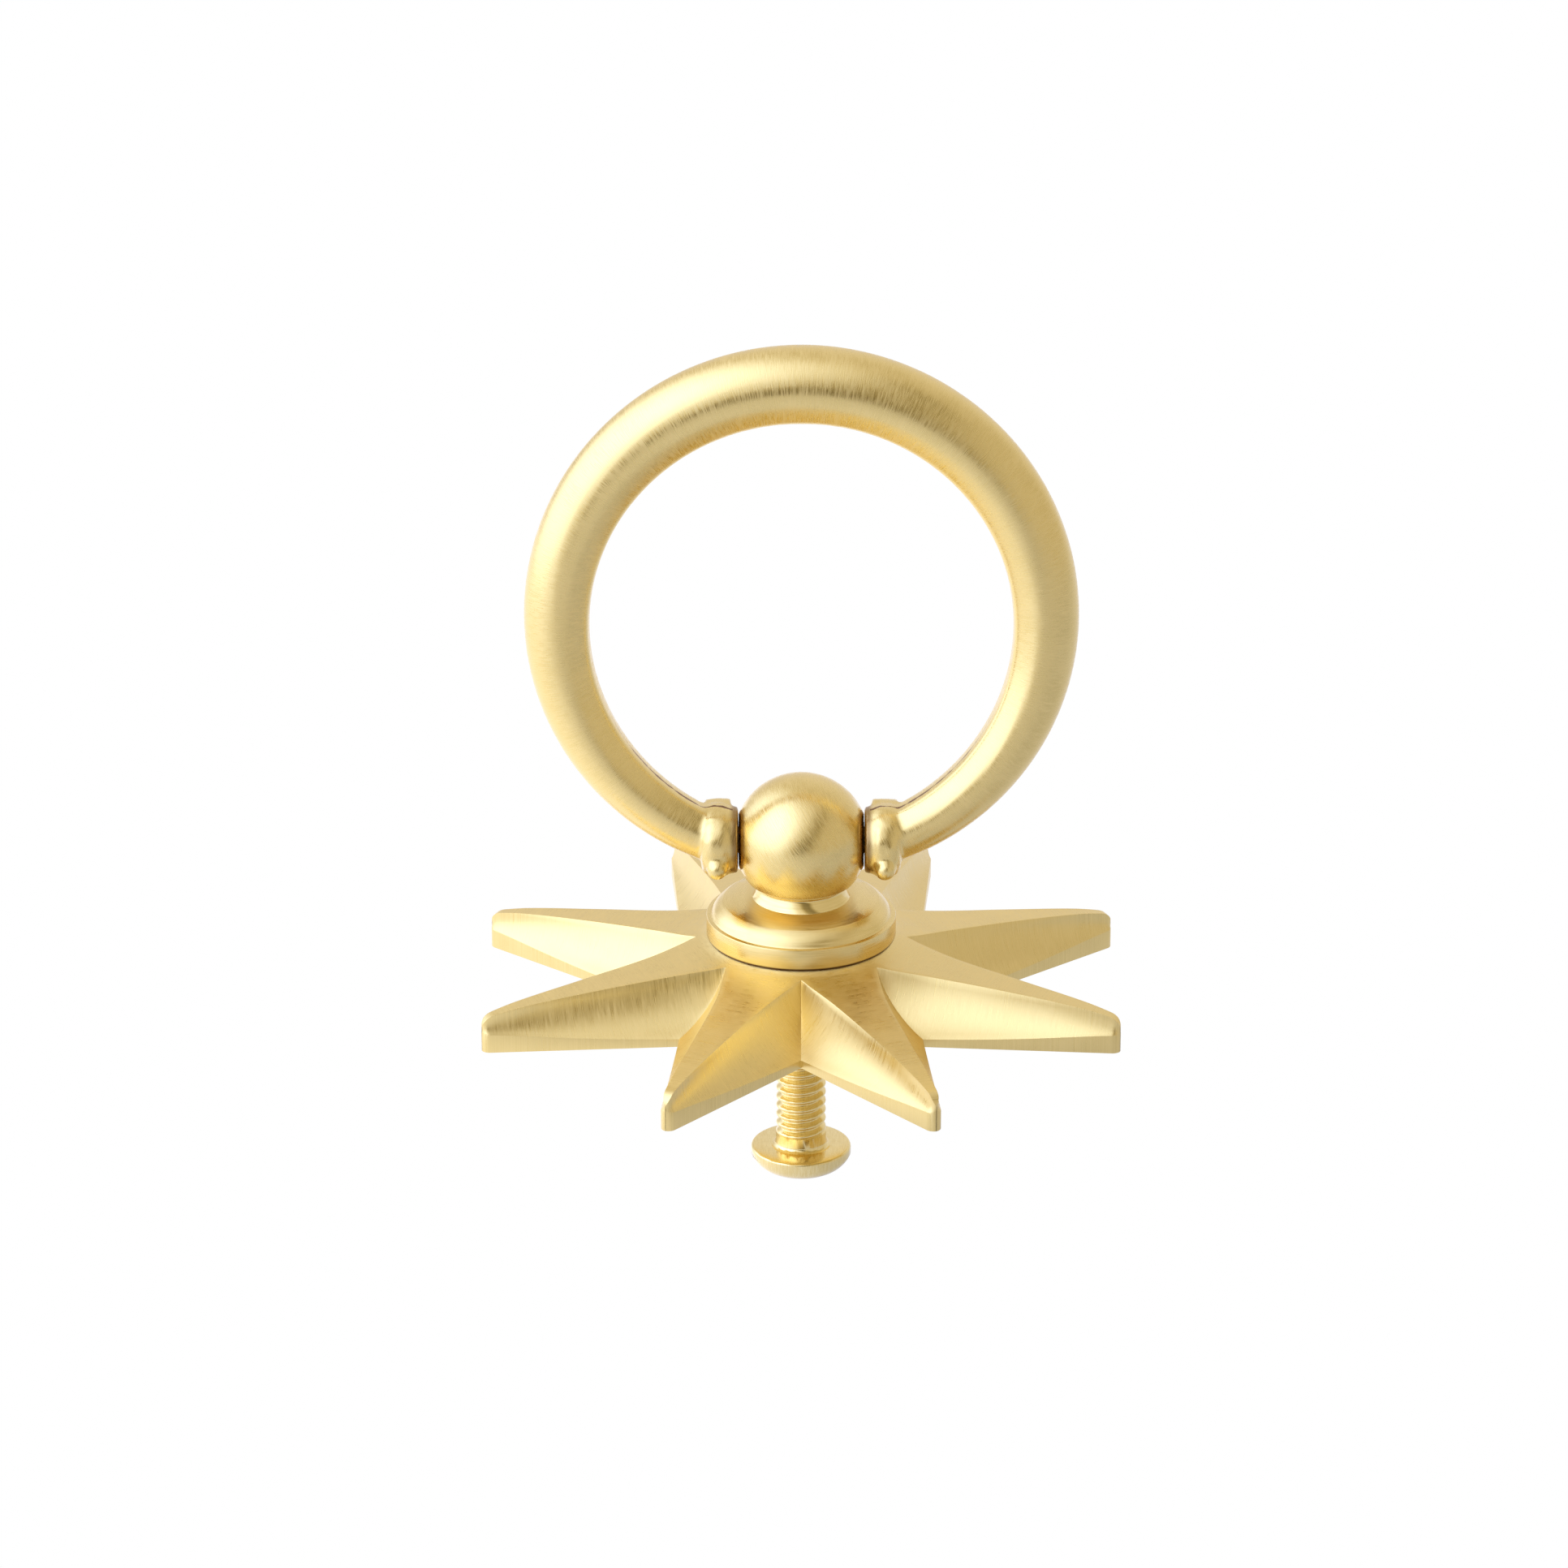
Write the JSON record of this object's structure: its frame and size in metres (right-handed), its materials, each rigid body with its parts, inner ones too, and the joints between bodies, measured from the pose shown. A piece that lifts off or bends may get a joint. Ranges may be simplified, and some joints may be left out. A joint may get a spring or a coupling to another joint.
{
  "type": "ring pull handle",
  "caption": "Brass ring pull with a tapered ring hinged on a ball post, over a star-shaped backplate held by a machine screw.",
  "frame": {"origin": "centre of the backplate's flat back face, on the screw's axis", "axes": "+Z along the screw's axis, out of the drawer towards the ring; the ring turns about X; -Y is the side that faces the viewer"},
  "size_m": [0.0518, 0.0518, 0.0708],
  "materials": {
    "star_backplate": "satin brushed",
    "ball_post": "satin brushed, polished neck",
    "ring_handle": "satin brushed",
    "mounting_screw": "bright plated"
  },
  "bodies": {
    "base": {"star_backplate": "star_backplate", "ball_post": "ball_post", "mounting_screw": "mounting_screw"},
    "ring": {"ring_handle": "ring_handle"}
  },
  "joints": [
    {"name": "ring_hinge", "type": "hinge", "parent": "base", "child": "ring", "pos_m": [0, 0, 0.0141], "axis": [1, 0, 0], "range_deg": [-101, 111]}
  ]
}
